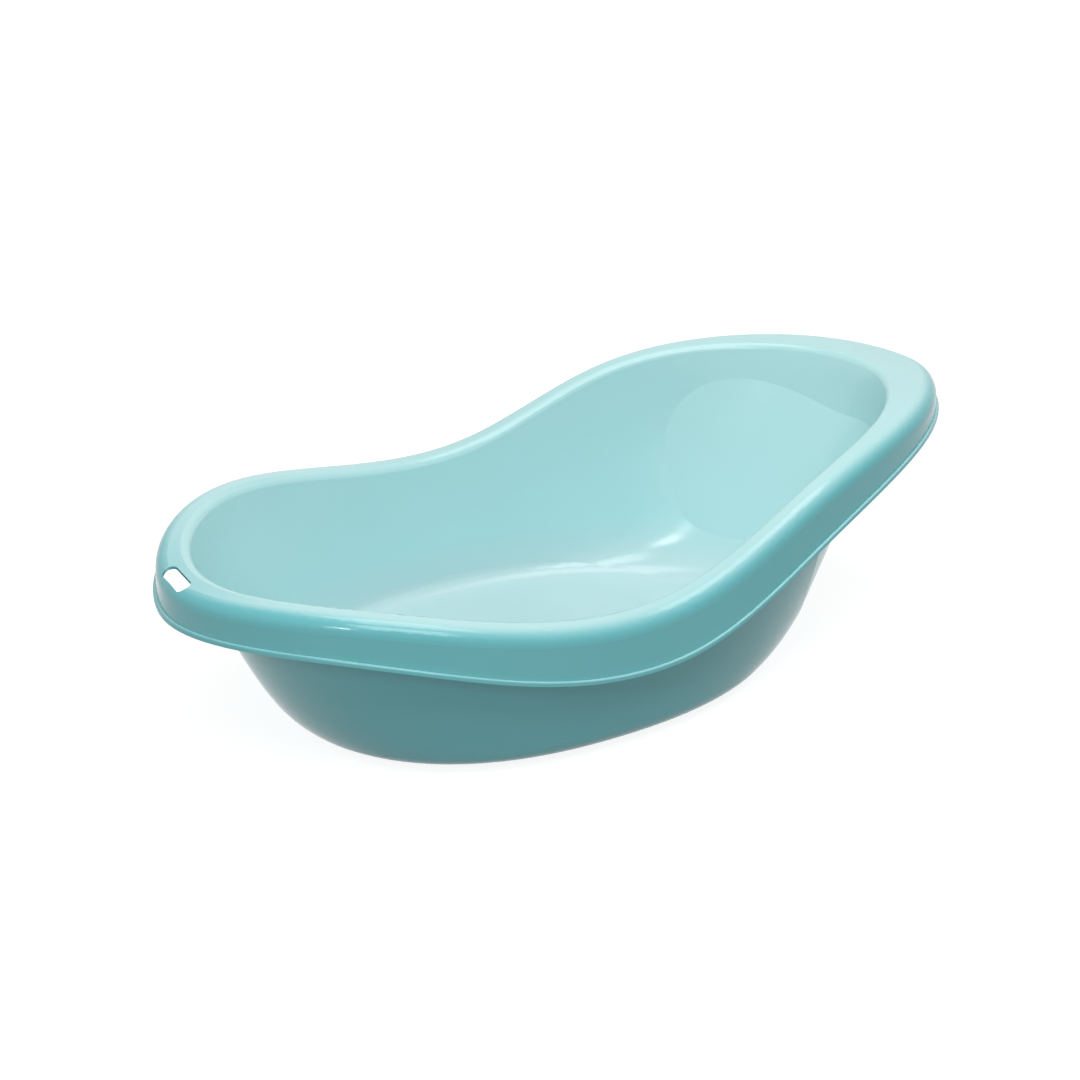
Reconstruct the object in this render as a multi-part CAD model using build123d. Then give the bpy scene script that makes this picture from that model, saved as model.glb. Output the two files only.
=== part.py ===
from build123d import *
from math import copysign, cos, pi, radians, sin, tan
import os

# ------------------------------------------------------------ walls and fits
wall = 3.0
base_clearance = 9.5
running_clearance = 0.1

# -------------------------------------------------------------- rim, in plan
rim_foot_reach = 450.3
rim_head_reach = 455.1
rim_half_width = 248.7
rim_widest_x = -52.4
rim_foot_fullness = 2.65
rim_head_fullness = 2.36
rim_side_fullness = 1.83
skirt_draft = 3.4
rim_outer_round = 16.0
rim_inner_round = 9.0

# ---------------------------------- rim, heights above the ground along the tub
rim_end_x = 460.0
rim_crest_x = 310.0
rim_slope_x = 155.0
rim_height_foot_end = 195.6
rim_height_foot_crest = 208.0
rim_height_foot_slope = 179.2
rim_height_middle = 180.1
rim_height_head_slope = 243.7
rim_height_head_crest = 273.3
rim_height_head_end = 271.5

# ------------------------------------------------ skirt and the lip along it
skirt_depth_foot_end = 34.6
skirt_depth_foot = 46.3
skirt_depth_foot_slope = 54.1
skirt_depth_middle = 58.7
skirt_depth_rise = 57.1
skirt_depth_head = 39.6
skirt_depth_head_end = 28.6
lip_standout = 3.0
lip_height = 4.2
lip_round = 1.6

# ------------------------------------------------------------------ the basin
deck_width_foot = 32.6
deck_width_head = 65.2
deck_width_side = 29.8
mouth_depth_foot = 205.0
mouth_depth_head = 265.0
mouth_depth_side = 171.0
wall_run_foot = 103.8
wall_run_head = 178.9
wall_run_side = 21.6
basin_widest_x = -56.9
basin_overrun = 19.2
basin_foot_fullness = 2.34
basin_head_fullness = 2.13
basin_side_fullness = 1.96
foot_wall_power = 0.69
head_wall_power = 0.57
side_wall_power = 0.82
floor_round = 20.0

# ---------------------------------------------------- backrest, moulded in
backrest_base_inset = 139.1
backrest_lean = 28.9
backrest_trough_low = 0.00392
backrest_trough_high = 0.00525

# --------------------------------------------------------------- hanging slot
slot_inset = 13.3
slot_length = 52.0
slot_width = 15.0

# ----------------------------------------------------------------- four feet
foot_inset_head = 81.0
foot_inset_foot = 83.9
foot_inset_side = 92.3
foot_tube_outer = 36.0
foot_tube_inner = 30.0
foot_pad_diameter = 38.0
foot_pad_thickness = 3.0
foot_pad_chamfer = 0.8
foot_spigot_length = 4.5
foot_groove_depth = 0.7
foot_groove_width = 2.0

# ------------------------------------------------------------------ the drain
drain_inset = 98.9
drain_tail_diameter = 41.0
drain_bore_diameter = 36.0
drain_flange_diameter = 58.0
drain_flange_thickness = 2.0
drain_pad_diameter = 64.0
drain_pad_thickness = 1.5
drain_tail_clearance = 1.8
seal_diameter = 54.0
seal_thickness = 1.5
nut_diameter = 56.0
nut_thickness = 4.0
nut_notches = 8
nut_notch_radius = 2.6

# ------------------------------------------------------------------- the plug
plug_cap_diameter = 47.0
plug_cap_thickness = 2.4
plug_depth = 6.5
plug_taper = 1.2
plug_hollow_diameter = 26.0
lug_length = 9.0
lug_width = 8.0
lug_height = 6.6
lug_crown_flat = 0.4
ring_wire = 3.0
ring_length = 24.0
ring_width = 22.0
ring_corner = 6.0
ring_float = 0.4

# ------------------------------------------------------------- derived places
mouth_foot_reach = rim_foot_reach - deck_width_foot
mouth_head_reach = rim_head_reach - deck_width_head
mouth_half_width = rim_half_width - deck_width_side
floor_foot_reach = mouth_foot_reach - wall_run_foot
floor_head_reach = mouth_head_reach - wall_run_head
floor_half_width = mouth_half_width - wall_run_side
backrest_base_x = mouth_head_reach - backrest_base_inset
slot_x = slot_inset - rim_foot_reach
foot_head_x = floor_head_reach - foot_inset_head
foot_foot_x = foot_inset_foot - floor_foot_reach
foot_y = floor_half_width - foot_inset_side
drain_x = drain_inset - floor_foot_reach
lug_round = (lug_length - lug_crown_flat) / 2

# ------------------------------------------------------------ derived heights
floor_top = base_clearance + wall
flange_seat = floor_top - drain_flange_thickness
drain_pad_bottom = base_clearance - drain_pad_thickness
seal_bottom = drain_pad_bottom - seal_thickness
nut_bottom = seal_bottom - nut_thickness
cap_top = floor_top + plug_cap_thickness
ring_axis_z = cap_top + ring_wire / 2 + ring_float
far = 2 * rim_end_x
above_rim = rim_height_head_crest + 60
plan_points = 20


def oval(foot_reach, head_reach, half_width, widest_x, fullness, z):
    """Egg-shaped outline at height z; fullness is given as (foot, head, side)."""
    points = []
    for step in range(plan_points):
        angle = 2 * pi * step / plan_points
        along = cos(angle)
        across = sin(angle)
        end_fullness = fullness[1] if along > 0 else fullness[0]
        end_reach = head_reach - widest_x if along > 0 else foot_reach + widest_x
        x = widest_x + end_reach * copysign(abs(along) ** (2 / end_fullness), along)
        y = half_width * copysign(abs(across) ** (2 / fullness[2]), across)
        points.append((x, y, z))
    return Face(Wire([Spline(points, periodic=True)]))


def rim_envelope(offset):
    """Drafted solid whose side is the outside of the skirt, moved out by offset."""
    sections = []
    for z in (offset, above_rim):
        grow = offset + (rim_height_middle - z) * tan(radians(skirt_draft))
        sections.append(
            oval(
                rim_foot_reach + grow,
                rim_head_reach + grow,
                rim_half_width + grow,
                rim_widest_x,
                (rim_foot_fullness, rim_head_fullness, rim_side_fullness),
                z,
            )
        )
    return loft(sections, ruled=True)


def below_profile(profile):
    """Everything under a height profile given as (x, z) points along the tub."""
    crest = Spline(profile)
    first = crest @ 0
    last = crest @ 1
    frame = Polyline(
        (last.X, last.Y),
        (far, last.Y),
        (far, -base_clearance),
        (-far, -base_clearance),
        (-far, first.Y),
        (first.X, first.Y),
    )
    side_view = make_face([crest] + frame.edges())
    return extrude(Plane.XZ * side_view, amount=far, both=True)


def rim_profile(drop):
    """Side view of the rim top, lowered by drop."""
    stations = [
        (-rim_end_x, rim_height_foot_end),
        (-rim_crest_x, rim_height_foot_crest),
        (-rim_slope_x, rim_height_foot_slope),
        (0, rim_height_middle),
        (rim_slope_x, rim_height_head_slope),
        (rim_crest_x, rim_height_head_crest),
        (rim_end_x, rim_height_head_end),
    ]
    return [(x, z - drop) for x, z in stations]


def lip_profile(lift):
    """Side view of the skirt's lower edge, raised by lift."""
    depths = [
        skirt_depth_foot_end,
        skirt_depth_foot,
        skirt_depth_foot_slope,
        skirt_depth_middle,
        skirt_depth_rise,
        skirt_depth_head,
        skirt_depth_head_end,
    ]
    return [(x, z - depth + lift) for (x, z), depth in zip(rim_profile(0), depths)]


def crest_edge(block):
    """The long edges round the top of a block that has been trimmed to a height profile."""
    return [e for e in block.edges() if e.length > rim_end_x and e.center().Z > above_rim / 4]


def rim_block(offset):
    """Solid under the rim top with its crest rounded; a negative offset lies inside the wall."""
    block = rim_envelope(offset) & below_profile(rim_profile(-offset))
    return fillet(crest_edge(block), rim_outer_round + offset)


def backrest_block(offset):
    """Everything behind the moulded backrest, a leaning trough of parabolic plan."""
    reach = mouth_half_width + far / 10
    sections = []
    for z, curve in ((0, backrest_trough_low), (above_rim, backrest_trough_high)):
        apex = backrest_base_x + offset + (z - base_clearance) * tan(radians(backrest_lean))
        sag = curve * reach**2
        trough = Bezier((apex - sag, -reach), (apex + sag, 0), (apex - sag, reach))
        back = Polyline((apex - sag, reach), (far, reach), (far, -reach), (apex - sag, -reach))
        sections.append(Plane.XY.offset(z) * make_face([trough] + back.edges()))
    return loft(sections, ruled=True)


def basin_block(offset):
    """Solid filling the basin up past the rim; offset is the wall on its outside."""
    sections = []
    top_rise = rim_height_head_crest + basin_overrun - floor_top
    for share in (0, 3, 12.5, 30, 50, 70):
        rise = top_rise * share / 70
        foot_share = (rise / mouth_depth_foot) ** foot_wall_power
        head_share = (rise / mouth_depth_head) ** head_wall_power
        side_share = (rise / mouth_depth_side) ** side_wall_power
        sections.append(
            oval(
                floor_foot_reach + (mouth_foot_reach - floor_foot_reach) * foot_share + offset,
                floor_head_reach + (mouth_head_reach - floor_head_reach) * head_share + offset,
                floor_half_width + (mouth_half_width - floor_half_width) * side_share + offset,
                basin_widest_x,
                (basin_foot_fullness, basin_head_fullness, basin_side_fullness),
                floor_top - offset + rise,
            )
        )
    block = loft(sections) - backrest_block(offset / cos(radians(backrest_lean)))
    return fillet(block.edges().group_by(Axis.Z)[0], floor_round + offset)


def disc(radius, bottom, top, x, y=0):
    """Upright round bar between two heights."""
    upright = (Align.CENTER, Align.CENTER, Align.MIN)
    return Pos(x, y, bottom) * Cylinder(radius, top - bottom, align=upright)


def tube(outer, inner, bottom, top, x, y=0):
    """Upright round tube given by its two radii and two heights."""
    return disc(outer, bottom, top, x, y) - disc(inner, bottom, top, x, y)


def foot_places():
    """Centres of the four feet, the head pair first."""
    return [(x, y) for x in (foot_head_x, foot_foot_x) for y in (-foot_y, foot_y)]


def add_floor_fittings(shell):
    """Foot tubes and the thickened drain pad under the floor, and the drain's stepped hole."""
    for x, y in foot_places():
        top = base_clearance + wall / 2
        shell += tube(foot_tube_outer / 2, foot_tube_inner / 2, foot_pad_thickness, top, x, y)
    shell += disc(drain_pad_diameter / 2, drain_pad_bottom, base_clearance + wall / 3, drain_x)
    recess = drain_flange_diameter / 2 + running_clearance
    hole = drain_tail_diameter / 2 + running_clearance
    shell -= disc(recess, flange_seat, floor_top + wall, drain_x)
    return shell - disc(hole, 0, floor_top, drain_x)


def make_tub_shell():
    """The moulded tub: basin, hollow rim with its lip, hanging slot and floor fittings."""
    flange = rim_envelope(lip_standout) & below_profile(lip_profile(lip_height))
    flange = fillet(crest_edge(flange), lip_round)
    rim = rim_block(0) + flange - below_profile(lip_profile(0)) - rim_block(-wall)
    basin = basin_block(wall) & below_profile(rim_profile(wall / 2))
    shell = rim + basin - basin_block(0)
    tall = [e for e in shell.edges() if e.bounding_box().max.Z > rim_height_head_crest - wall / 2]
    mouth = [e for e in tall if e.length > rim_end_x and abs(e.center().Y) < mouth_half_width + 5]
    shell = fillet(mouth, rim_inner_round)
    slot = SlotOverall(slot_length, slot_width, rotation=90)
    shell -= Pos(slot_x, 0, base_clearance) * extrude(slot, amount=above_rim)
    return add_floor_fittings(shell)


def make_foot_pad(x, y):
    """Soft foot: a disc under the moulded tube and a grooved spigot gripping inside it."""
    spigot = foot_tube_inner / 2 - running_clearance
    top = foot_pad_thickness + foot_spigot_length
    pad = disc(foot_pad_diameter / 2, 0, foot_pad_thickness, x, y)
    pad = chamfer(pad.edges().group_by(Axis.Z)[0], foot_pad_chamfer)
    pad += disc(spigot, foot_pad_thickness, top, x, y)
    middle = foot_pad_thickness + foot_spigot_length / 2
    groove = tube(
        foot_pad_diameter,
        spigot - foot_groove_depth,
        middle - foot_groove_width / 2,
        middle + foot_groove_width / 2,
        x,
        y,
    )
    return pad - (groove & disc(spigot + running_clearance / 2, 0, top, x, y))


def make_drain_seat():
    """Flanged throat let into the floor, with the tapered seat the plug drops into."""
    tail = drain_tail_diameter / 2
    bore = drain_bore_diameter / 2
    flange = disc(drain_flange_diameter / 2, flange_seat, floor_top, drain_x)
    flange = chamfer(flange.edges().group_by(Axis.Z)[-1], drain_flange_thickness / 3)
    seat = flange + disc(tail, drain_tail_clearance, flange_seat, drain_x)
    height = floor_top - drain_tail_clearance
    throat = Cone(
        bore - plug_taper * height / plug_depth,
        bore,
        height,
        align=(Align.CENTER, Align.CENTER, Align.MIN),
    )
    return seat - Pos(drain_x, 0, drain_tail_clearance) * throat


def make_drain_seal():
    """Flat gasket between the floor and the nut."""
    hole = drain_tail_diameter / 2 + running_clearance
    return tube(seal_diameter / 2, hole, seal_bottom, drain_pad_bottom, drain_x)


def make_drain_nut():
    """Ring nut under the floor with finger notches round its edge."""
    hole = drain_tail_diameter / 2 + running_clearance
    nut = tube(nut_diameter / 2, hole, nut_bottom, seal_bottom, drain_x)
    notch = disc(nut_notch_radius, nut_bottom, seal_bottom, 0)
    for place in PolarLocations(nut_diameter / 2, nut_notches):
        nut -= Pos(drain_x, 0, 0) * place * notch
    return nut


def make_drain_plug():
    """Soft stopper: cap, tapered plug hollowed from below, and a lug for the pull ring."""
    cap = disc(plug_cap_diameter / 2, floor_top, cap_top, drain_x)
    cap = fillet(cap.edges().group_by(Axis.Z)[-1], plug_cap_thickness / 2)
    bore = drain_bore_diameter / 2 - running_clearance
    stem = Cone(
        bore - plug_taper,
        bore,
        plug_depth,
        align=(Align.CENTER, Align.CENTER, Align.MAX),
    )
    hollow = disc(plug_hollow_diameter / 2, floor_top - plug_depth, floor_top, drain_x)
    lug = Box(
        lug_length,
        lug_width,
        lug_height + plug_cap_thickness,
        align=(Align.CENTER, Align.CENTER, Align.MIN),
    )
    lug = fillet(lug.edges().filter_by(Axis.Y).group_by(Axis.Z)[-1], lug_round)
    eye = Rot(90, 0, 0) * Cylinder(ring_wire / 2 + running_clearance, 2 * lug_width)
    plug = cap + Pos(drain_x, 0, floor_top) * (stem + lug) - hollow
    return plug - Pos(drain_x, 0, ring_axis_z) * eye


def make_plug_ring():
    """Pull ring: round wire bent to a rounded rectangle, its near side run through the lug."""
    middle = Pos(drain_x - ring_length / 2 + ring_wire / 2, 0, ring_axis_z)
    bend = ring_corner - ring_wire / 2
    path = RectangleRounded(ring_length - ring_wire, ring_width - ring_wire, bend).wire()
    start = Plane(path @ 0, z_dir=path % 0)
    return middle * sweep(start * Circle(ring_wire / 2), path=path)


parts = {
    "tub_shell": make_tub_shell(),
    "drain_seat": make_drain_seat(),
    "drain_seal": make_drain_seal(),
    "drain_nut": make_drain_nut(),
    "drain_plug": make_drain_plug(),
    "plug_ring": make_plug_ring(),
}
for (x, y), place in zip(foot_places(), ("head_near", "head_far", "foot_near", "foot_far")):
    parts["pad_" + place] = make_foot_pad(x, y)

os.makedirs("parts", exist_ok=True)
for node, shape in parts.items():
    export_step(shape, f"parts/{node}.step")
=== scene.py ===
from math import cos, radians, sin

import bpy
from mathutils import Matrix, Vector

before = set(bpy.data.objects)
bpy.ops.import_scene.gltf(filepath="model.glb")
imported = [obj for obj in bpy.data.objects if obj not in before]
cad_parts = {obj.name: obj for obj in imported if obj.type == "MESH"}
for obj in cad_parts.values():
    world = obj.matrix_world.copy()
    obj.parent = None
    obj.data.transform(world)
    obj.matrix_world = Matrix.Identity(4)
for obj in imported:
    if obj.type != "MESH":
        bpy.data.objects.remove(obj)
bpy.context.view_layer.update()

SCENE = bpy.context.scene

# --------------------------------------------------------------- node helpers

GRAIN_STRENGTH = 0.3


def principled(name):
    """New node material; returns the material, its node tree and its shader."""
    material = bpy.data.materials.new(name)
    material.use_nodes = True
    tree = material.node_tree
    return material, tree, tree.nodes["Principled BSDF"]


def noise(tree, coords, scale, detail, rough=0.5):
    """Soft noise through the object, between 0 and 1."""
    node = tree.nodes.new("ShaderNodeTexNoise")
    node.inputs["Scale"].default_value = scale
    node.inputs["Detail"].default_value = detail
    node.inputs["Roughness"].default_value = rough
    tree.links.new(coords.outputs["Object"], node.inputs["Vector"])
    return node.outputs["Fac"]


def ramp(tree, source, given, wanted, ease="LINEAR"):
    """Maps a value from the range given to the range wanted and holds it there."""
    node = tree.nodes.new("ShaderNodeMapRange")
    node.interpolation_type = ease
    for socket, value in zip(("From Min", "From Max", "To Min", "To Max"), (*given, *wanted)):
        node.inputs[socket].default_value = value
    tree.links.new(source, node.inputs["Value"])
    return node.outputs["Result"]


def maths(tree, operation, first, second):
    """One arithmetic step on two sockets."""
    node = tree.nodes.new("ShaderNodeMath")
    node.operation = operation
    tree.links.new(first, node.inputs[0])
    tree.links.new(second, node.inputs[1])
    return node.outputs["Value"]


def scaled(tree, vector, factors):
    """A vector with each of its three parts multiplied by its own factor."""
    node = tree.nodes.new("ShaderNodeVectorMath")
    node.operation = "MULTIPLY"
    node.inputs[1].default_value = factors
    tree.links.new(vector, node.inputs[0])
    return node.outputs["Vector"]


def dot(tree, first, second):
    """Scalar product of two vector sockets."""
    node = tree.nodes.new("ShaderNodeVectorMath")
    node.operation = "DOT_PRODUCT"
    tree.links.new(first, node.inputs[0])
    tree.links.new(second, node.inputs[1])
    return node.outputs["Value"]


def blended(tree, factor, first, second):
    """Mixes two colours, each given as three numbers or as a socket."""
    node = tree.nodes.new("ShaderNodeMix")
    node.data_type = "RGBA"
    tree.links.new(factor, node.inputs["Factor"])
    for letter, colour in (("A", first), ("B", second)):
        if isinstance(colour, tuple):
            node.inputs[letter].default_value = (*colour, 1)
        else:
            tree.links.new(colour, node.inputs[letter])
    return node.outputs["Result"]


def bumped(tree, shader, height, distance):
    """Fine bumps on a shader's surface."""
    node = tree.nodes.new("ShaderNodeBump")
    node.inputs["Strength"].default_value = GRAIN_STRENGTH
    node.inputs["Distance"].default_value = distance
    tree.links.new(height, node.inputs["Height"])
    tree.links.new(node.outputs["Normal"], shader.inputs["Normal"])


# ----------------------------------------------------------------- materials

# Base colours, each between a darker and a lighter tone. The tub's three aqua tones are one plastic
# painted with light: the outside tone is darkened with painted shade, and the walls and floor inside
# are made paler with painted sheen, the floor whitest.
AQUA_OUTSIDE_SHADE = (0.136, 0.53, 0.57), (0.154, 0.554, 0.594)
AQUA_WALLS_SHEEN = (0.475, 0.78, 0.79), (0.505, 0.81, 0.82)
AQUA_FLOOR_SHEEN = (0.53, 0.72, 0.74), (0.56, 0.75, 0.77)
PALE_GREY = (0.70, 0.73, 0.73), (0.76, 0.79, 0.79)
PLUG_GREY = (0.62, 0.66, 0.66), (0.68, 0.71, 0.71)
PAD_GREY = (0.25, 0.28, 0.28), (0.29, 0.32, 0.32)
RUBBER_BLACK = (0.012, 0.012, 0.014), (0.02, 0.02, 0.022)
STEEL = (0.60, 0.61, 0.62), (0.66, 0.67, 0.68)

# Least and greatest roughness.
GLOSSY = 0.13, 0.2
POLISHED = 0.12, 0.22
SATIN = 0.28, 0.4
SOFT = 0.38, 0.52
MATT = 0.6, 0.75

CLOUD_SCALE = 9.0
HAZE_SCALE = 34.0

# Where the tub's painted sheen and painted shade tones change, in metres in its own coordinates.
FLOOR_SHEEN_BAND = 0.014, 0.07
FLOOR_BAND = 0.04, 0.14
UPWARD_SHEEN_WEIGHTS = 1.0, 0.35
INWARD_WEIGHT = 3.0
TURN_TO_OUTSIDE = -0.55, 0.5
RIM_HALF_LENGTH = 0.45
RIM_HALF_WIDTH = 0.247
BEYOND_THE_MOUTH = 0.93, 0.98
TURNED_INWARD = 0.25, 0.5


def moulded(name, tones, gloss, grain, depth, metallic=0.0):
    """Material with slight clouding of colour and gloss, and a fine surface grain.

    tones turns the node tree, the coordinates and the clouding into a colour socket, and
    depth is the height of the grain in metres.
    """
    material, tree, shader = principled(name)
    coords = tree.nodes.new("ShaderNodeTexCoord")
    cloud = noise(tree, coords, CLOUD_SCALE, 4.0)
    haze = noise(tree, coords, HAZE_SCALE, 5.0, 0.6)
    tree.links.new(tones(tree, coords, cloud), shader.inputs["Base Color"])
    tree.links.new(ramp(tree, haze, (0, 1), gloss), shader.inputs["Roughness"])
    bumped(tree, shader, noise(tree, coords, grain, 2.0), depth)
    shader.inputs["Metallic"].default_value = metallic
    return material


def plain(tones):
    """Colour that only clouds between two close tones."""
    return lambda tree, coords, cloud: blended(tree, cloud, *tones)


def upright_part(tree, vector):
    """The Z part of a vector socket."""
    node = tree.nodes.new("ShaderNodeSeparateXYZ")
    tree.links.new(vector, node.inputs["Vector"])
    return node.outputs["Z"]


def painted_sheen_share(tree, coords):
    """Share of the pale painted-sheen tone: 1 on the walls and floor inside the bath, 0 on its
    outside, mostly inside on the rim's top, as surfaces facing up get more of it.
    """
    place = coords.outputs["Object"]
    normal = coords.outputs["Normal"]
    # Surfaces facing up get more painted sheen, most strongly low down.
    weight = ramp(tree, upright_part(tree, place), FLOOR_BAND, UPWARD_SHEEN_WEIGHTS)
    upward = maths(tree, "MULTIPLY", weight, upright_part(tree, normal))
    inward = dot(tree, scaled(tree, place, (-INWARD_WEIGHT, -INWARD_WEIGHT, 0)), normal)
    share = ramp(tree, maths(tree, "ADD", inward, upward), TURN_TO_OUTSIDE, (0, 1), "SMOOTHSTEP")
    in_plan = scaled(tree, place, (1 / RIM_HALF_LENGTH, 1 / RIM_HALF_WIDTH, 0))
    beyond = ramp(tree, dot(tree, in_plan, in_plan), BEYOND_THE_MOUTH, (0, 1))
    turned_in = ramp(tree, inward, TURNED_INWARD, (0, 1))
    behind_skirt = maths(tree, "MULTIPLY", beyond, turned_in)
    return maths(tree, "MULTIPLY", share, ramp(tree, behind_skirt, (0, 1), (1, 0)))


def bath_sheen_and_shade_tones(tree, coords, cloud):
    """Aqua painted with light: walls and floor inside paler with painted sheen, the floor lowest
    down whiter still, and a deeper tone of painted shade outside.
    """
    outside = blended(tree, cloud, *AQUA_OUTSIDE_SHADE)
    walls = blended(tree, cloud, *AQUA_WALLS_SHEEN)
    bottom = blended(tree, cloud, *AQUA_FLOOR_SHEEN)
    low = ramp(tree, upright_part(tree, coords.outputs["Object"]), FLOOR_SHEEN_BAND, (1, 0))
    inside = blended(tree, low, walls, bottom)
    return blended(tree, painted_sheen_share(tree, coords), outside, inside)


# The tub's colour carries painted sheen inside and painted shade outside.
tub_plastic = moulded("tub_plastic", bath_sheen_and_shade_tones, GLOSSY, 420.0, 0.00006)
drain_plastic = moulded("drain_plastic", plain(PALE_GREY), SATIN, 900.0, 0.0001)
seal_rubber = moulded("seal_rubber", plain(RUBBER_BLACK), MATT, 1500.0, 0.0002)
plug_rubber = moulded("plug_rubber", plain(PLUG_GREY), SOFT, 1200.0, 0.0001)
pad_rubber = moulded("pad_rubber", plain(PAD_GREY), MATT, 1500.0, 0.0002)
ring_steel = moulded("ring_steel", plain(STEEL), POLISHED, 2500.0, 0.00002, metallic=1.0)

FINISHES = {
    "tub_shell": tub_plastic,
    "drain_seat": drain_plastic,
    "drain_nut": drain_plastic,
    "drain_seal": seal_rubber,
    "drain_plug": plug_rubber,
    "plug_ring": ring_steel,
}
for name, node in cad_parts.items():
    node.data.materials.clear()
    node.data.materials.append(FINISHES.get(name, pad_rubber))
    node.data.shade_smooth()

# ------------------------------------------------------------ floor and lights

FLOOR_SIZE = 30
FLOOR_COLOUR = (0.35, 0.35, 0.35, 1)
FLOOR_LIFT = 0.88
WHITE = (1, 1, 1, 1)
WORLD_LIGHT = 0.33


def seen_straight(tree):
    """1 for camera, mirror and see-through rays, 0 for the rays that light the scene."""
    path = tree.nodes.new("ShaderNodeLightPath")
    seen = maths(tree, "MAXIMUM", path.outputs["Is Camera Ray"], path.outputs["Is Glossy Ray"])
    return maths(tree, "MAXIMUM", seen, path.outputs["Is Transmission Ray"])


def white_floor():
    """Pale matt floor that keeps the shadow and looks white where the camera sees it."""
    material, tree, shader = principled("floor_white")
    shader.inputs["Base Color"].default_value = FLOOR_COLOUR
    shader.inputs["Roughness"].default_value = 0.9
    shader.inputs["Specular IOR Level"].default_value = 0.1
    shader.inputs["Emission Color"].default_value = WHITE
    lift = ramp(tree, seen_straight(tree), (0, 1), (0, FLOOR_LIFT))
    tree.links.new(lift, shader.inputs["Emission Strength"])
    return material


bpy.ops.mesh.primitive_plane_add(size=FLOOR_SIZE, location=(0, 0, 0))
floor = bpy.context.object
floor.name = "floor"
floor.data.materials.append(white_floor())

world = bpy.data.worlds.new("studio")
SCENE.world = world
world.use_nodes = True
sky = world.node_tree
background = sky.nodes["Background"]
background.inputs["Color"].default_value = WHITE
glow = ramp(sky, seen_straight(sky), (0, 1), (WORLD_LIGHT, 1.0))
sky.links.new(glow, background.inputs["Strength"])


def softbox(name, at, aim, width, height, power):
    """Rectangular lamp at one place, turned toward another; sizes in metres, power in watts."""
    lamp = bpy.data.lights.new(name, "AREA")
    lamp.shape = "RECTANGLE"
    lamp.size = width
    lamp.size_y = height
    lamp.energy = power
    thing = bpy.data.objects.new(name, lamp)
    thing.location = at
    thing.rotation_mode = "QUATERNION"
    thing.rotation_quaternion = (Vector(aim) - Vector(at)).to_track_quat("-Z", "Y")
    SCENE.collection.objects.link(thing)


softbox("overhead", (0.1, 0.0, 2.0), (0, 0, 0.1), 1.2, 1.2, 13.5)
softbox("front", (-0.5, -1.4, 2.1), (0, 0, 0.1), 1.4, 0.9, 19)
softbox("side", (-1.77, -1.56, 1.55), (0.2, 0.12, 0.05), 0.35, 0.4, 7)

# -------------------------------------------------------------------- camera

AZIMUTH = radians(28.993)
ELEVATION = radians(24.492)
ROLL = radians(-0.476)
DISTANCE = 2.150
AIM = Vector((-0.03663, 0.0, 0.15107))
SENSOR_WIDTH = 36.0
FOCAL_LENGTH = 67.6

ahead = Vector((sin(AZIMUTH) * cos(ELEVATION), cos(AZIMUTH) * cos(ELEVATION), -sin(ELEVATION)))
level = Vector((cos(AZIMUTH), -sin(AZIMUTH), 0))
up = level.cross(ahead)
right = level * cos(ROLL) + up * sin(ROLL)
top = up * cos(ROLL) - level * sin(ROLL)
lens = bpy.data.cameras.new("camera")
lens.sensor_width = SENSOR_WIDTH
lens.lens = FOCAL_LENGTH
camera = bpy.data.objects.new("camera", lens)
turn = Matrix((right, top, -ahead)).transposed()
camera.matrix_world = Matrix.Translation(AIM - ahead * DISTANCE) @ turn.to_4x4()
SCENE.collection.objects.link(camera)
SCENE.camera = camera

SCENE.view_settings.view_transform = "Standard"
